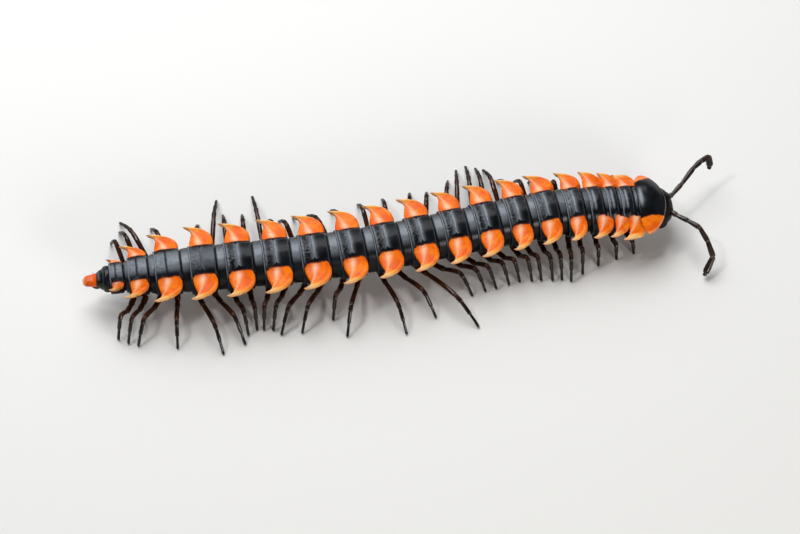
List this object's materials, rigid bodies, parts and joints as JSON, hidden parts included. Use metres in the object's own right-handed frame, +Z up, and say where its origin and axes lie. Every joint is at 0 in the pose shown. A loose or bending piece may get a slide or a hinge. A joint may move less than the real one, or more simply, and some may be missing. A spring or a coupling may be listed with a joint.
{
  "type": "orthomorpha millipede",
  "caption": "Still life-size flat-backed millipede, walking: black rings with hooked orange side wings, orange tail tip, slender brown legs and dark clubbed antennae.",
  "frame": {"origin": "on the ground, under the middle of the animal with its feelers and feet", "axes": "+X runs from tail to head, +Y is the animal's left side, +Z is up from the ground it walks on"},
  "size_m": [0.0395, 0.0119, 0.0037],
  "materials": {
    "black_cuticle": "hard black cuticle with a blue-grey satin sheen, orange on the side wings and the tail tip",
    "brown_limb": "glossy cuticle, amber at the root and dark brown towards the claw",
    "dark_feeler": "dark brown cuticle under fine down"
  },
  "bodies": {
    "root": {"head": "black_cuticle", "collum": "black_cuticle", "ring_02": "black_cuticle", "ring_03": "black_cuticle", "ring_04": "black_cuticle", "ring_05": "black_cuticle", "ring_06": "black_cuticle", "ring_07": "black_cuticle", "ring_08": "black_cuticle", "ring_09": "black_cuticle", "ring_10": "black_cuticle", "ring_11": "black_cuticle", "ring_12": "black_cuticle", "ring_13": "black_cuticle", "ring_14": "black_cuticle", "ring_15": "black_cuticle", "ring_16": "black_cuticle", "ring_17": "black_cuticle", "ring_18": "black_cuticle", "ring_19": "black_cuticle", "telson": "black_cuticle", "antenna_left": "dark_feeler", "antenna_right": "dark_feeler", "legs_02_left": "brown_limb", "legs_02_right": "brown_limb", "legs_03_left": "brown_limb", "legs_03_right": "brown_limb", "legs_04_left": "brown_limb", "legs_04_right": "brown_limb", "legs_05_left": "brown_limb", "legs_05_right": "brown_limb", "legs_06_left": "brown_limb", "legs_06_right": "brown_limb", "legs_07_left": "brown_limb", "legs_07_right": "brown_limb", "legs_08_left": "brown_limb", "legs_08_right": "brown_limb", "legs_09_left": "brown_limb", "legs_09_right": "brown_limb", "legs_10_left": "brown_limb", "legs_10_right": "brown_limb", "legs_11_left": "brown_limb", "legs_11_right": "brown_limb", "legs_12_left": "brown_limb", "legs_12_right": "brown_limb", "legs_13_left": "brown_limb", "legs_13_right": "brown_limb", "legs_14_left": "brown_limb", "legs_14_right": "brown_limb", "legs_15_left": "brown_limb", "legs_15_right": "brown_limb", "legs_16_left": "brown_limb", "legs_16_right": "brown_limb", "legs_17_left": "brown_limb", "legs_17_right": "brown_limb", "legs_18_left": "brown_limb", "legs_18_right": "brown_limb"}
  },
  "joints": []
}
